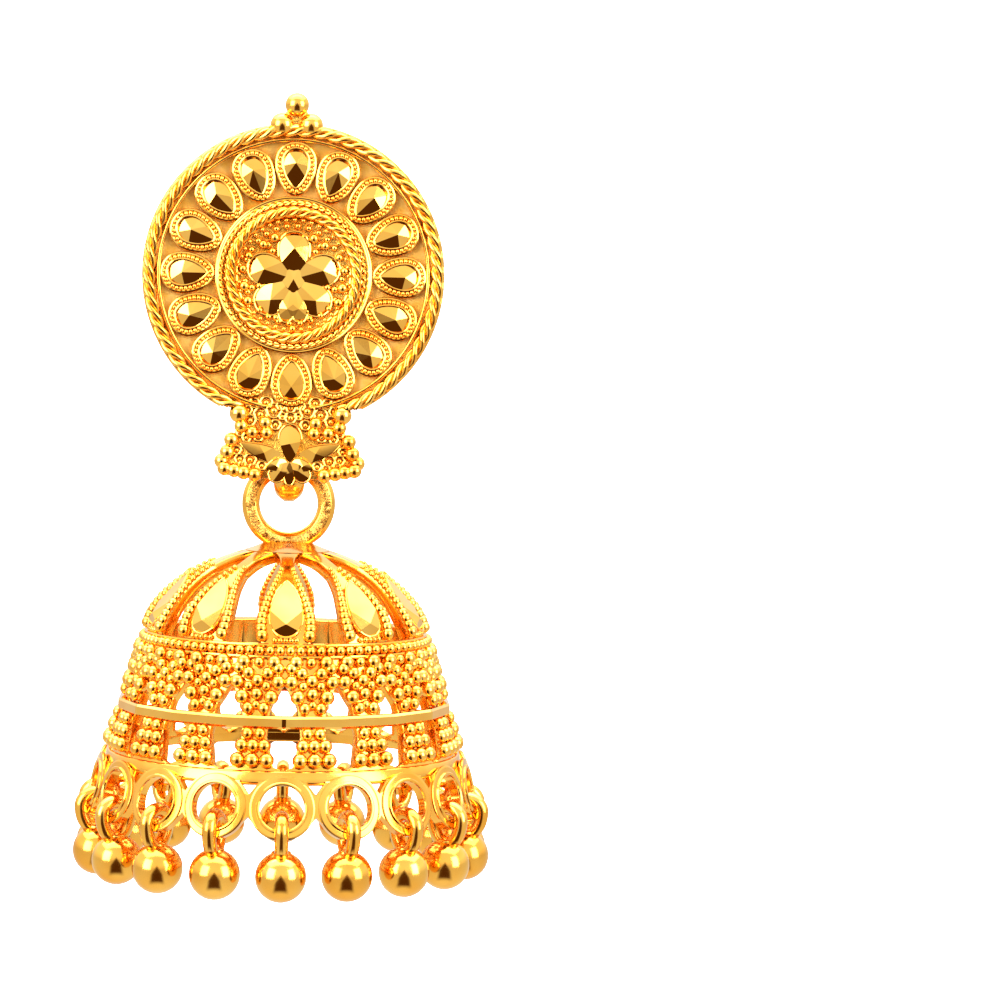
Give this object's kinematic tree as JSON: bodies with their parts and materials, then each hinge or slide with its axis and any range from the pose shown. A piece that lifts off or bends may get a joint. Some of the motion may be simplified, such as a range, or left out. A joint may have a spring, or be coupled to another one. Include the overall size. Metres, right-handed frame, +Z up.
{
  "type": "jhumka earring",
  "caption": "Drop earring: round stud with a post and a connector plate, from whose lug a ringed, open-work domed bell swings, with ball drops round its rim.",
  "frame": {"origin": "middle of the stud's flat back, where the ear post leaves it", "axes": "+Z up as worn, -Y out of the front of the stud, +Y along the ear post towards the ear, +X to the right seen from the front"},
  "size_m": [0.0264, 0.0268, 0.0497],
  "materials": {
    "bright_gold": "polished yellow gold, with diamond-cut facets and granulation",
    "post_gold": "plain satin yellow gold"
  },
  "bodies": {
    "stud_body": {"stud": "bright_gold", "ear_post": "post_gold"},
    "bell_body": {"bell": "bright_gold", "drop_01": "bright_gold", "drop_02": "bright_gold", "drop_03": "bright_gold", "drop_04": "bright_gold", "drop_05": "bright_gold", "drop_06": "bright_gold", "drop_07": "bright_gold", "drop_08": "bright_gold", "drop_09": "bright_gold", "drop_10": "bright_gold", "drop_11": "bright_gold", "drop_12": "bright_gold", "drop_13": "bright_gold", "drop_14": "bright_gold", "drop_15": "bright_gold", "drop_16": "bright_gold", "drop_17": "bright_gold", "drop_18": "bright_gold"}
  },
  "joints": [
    {"name": "bell_swing", "type": "hinge", "parent": "stud_body", "child": "bell_body", "pos_m": [0, 0.0016, -0.01219], "axis": [1, 0, 0], "range_deg": [-40, 40]}
  ]
}
